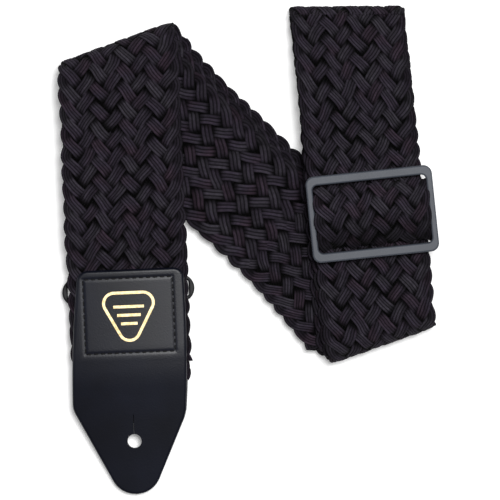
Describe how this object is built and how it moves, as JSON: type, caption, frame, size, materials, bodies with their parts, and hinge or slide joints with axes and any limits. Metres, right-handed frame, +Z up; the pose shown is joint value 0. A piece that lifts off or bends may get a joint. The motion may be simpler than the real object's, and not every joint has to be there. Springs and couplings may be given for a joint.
{
  "type": "guitar strap",
  "caption": "Braided webbing guitar strap with leather button ends, an oval joining ring and a sliding length adjuster, folded and lying flat.",
  "frame": {"origin": "centre of the rear leather end's button hole, on the face that the folded strap lies on", "axes": "+Z up, away from the surface the strap lies on; +Y roughly from the leather ends towards the first fold (the left run leans 2.4 degrees to the left of it); +X towards the right run with the slider"},
  "size_m": [0.1646, 0.2102, 0.0292],
  "materials": {
    "webbing": "matte",
    "leather": "satin",
    "thread": "matte",
    "foil": "satin",
    "moulding": "matte",
    "ring_plastic": "satin"
  },
  "bodies": {
    "folded_webbing": {"webbing_left_run": "webbing", "webbing_left_fold": "webbing", "webbing_diagonal_run": "webbing", "webbing_right_fold": "webbing", "webbing_right_run": "webbing", "webbing_top_fold": "webbing", "webbing_ring_loop": "webbing"},
    "slider": {"tri_glide_slider": "moulding", "webbing_end_wrap": "webbing", "webbing_over_bar": "webbing"},
    "front_end": {"webbing_front_end": "webbing", "front_leather_end": "leather", "front_stitching": "thread", "front_emblem": "foil"},
    "ring": {"strap_ring": "ring_plastic"},
    "rear_end": {"ring_connector": "webbing", "rear_leather_end": "leather", "rear_stitching": "thread"}
  },
  "joints": [
    {"name": "slider_slide", "type": "slide", "parent": "folded_webbing", "child": "slider", "axis": [-0.1045, 0.994, 0.032], "range_m": [-0.02, 0.024]},
    {"name": "front_end_lift", "type": "hinge", "parent": "folded_webbing", "child": "front_end", "pos_m": [-0.00316, 0.07543, 0.0122], "axis": [-0.9991, -0.0419, 0], "range_deg": [0, 80]},
    {"name": "ring_swing", "type": "hinge", "parent": "folded_webbing", "child": "ring", "pos_m": [-0.00287, 0.06859, 0.0049], "axis": [0.9991, 0.0419, 0], "range_deg": [0, 50]},
    {"name": "rear_end_swing", "type": "hinge", "parent": "ring", "child": "rear_end", "pos_m": [-0.00249, 0.0595, 0.0049], "axis": [0.9991, 0.0419, 0], "range_deg": [0, 90]}
  ]
}
